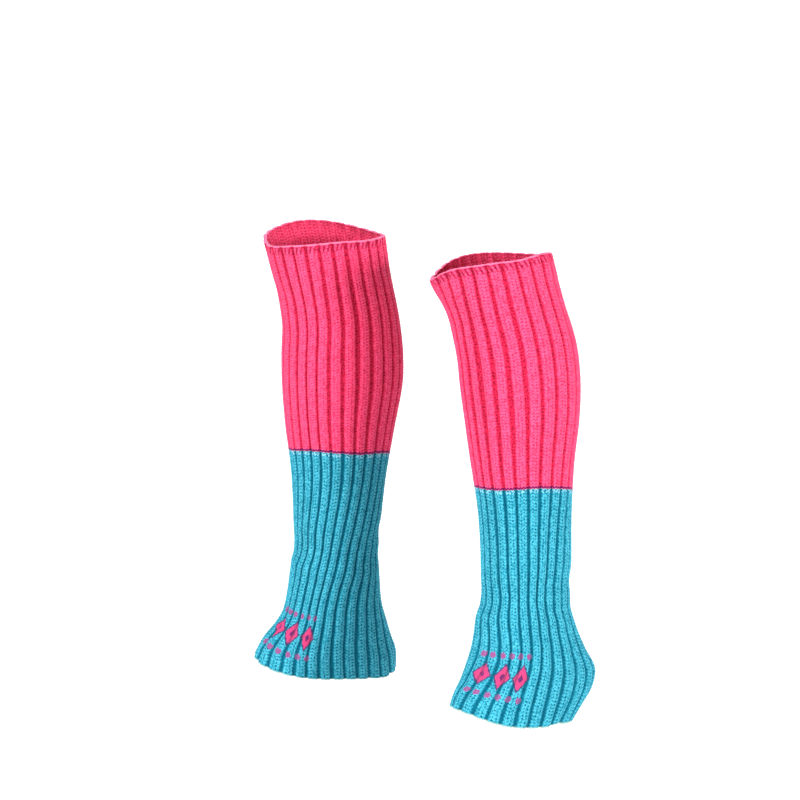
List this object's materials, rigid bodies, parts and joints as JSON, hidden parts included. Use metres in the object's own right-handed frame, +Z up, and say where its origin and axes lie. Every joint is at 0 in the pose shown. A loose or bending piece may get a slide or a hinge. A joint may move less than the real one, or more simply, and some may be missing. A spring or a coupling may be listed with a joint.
{
  "type": "pair of leg warmers",
  "caption": "Ribbed knit leg warmers in colour blocks, hollow as worn: flared below the knee, narrow above the ankle and spread over the heel.",
  "frame": {"origin": "midway between the two calves, at the height where the ribs grip them", "axes": "+Z up the wearer's legs, -Y the way the wearer faces, +X the wearer's left"},
  "size_m": [0.3327, 0.2193, 0.4447],
  "materials": {
    "pink_knit": "matt ribbed knit",
    "teal_knit": "matt ribbed knit"
  },
  "bodies": {
    "root": {"left_upper": "pink_knit", "left_lower": "teal_knit", "right_upper": "pink_knit", "right_lower": "teal_knit"}
  },
  "joints": []
}
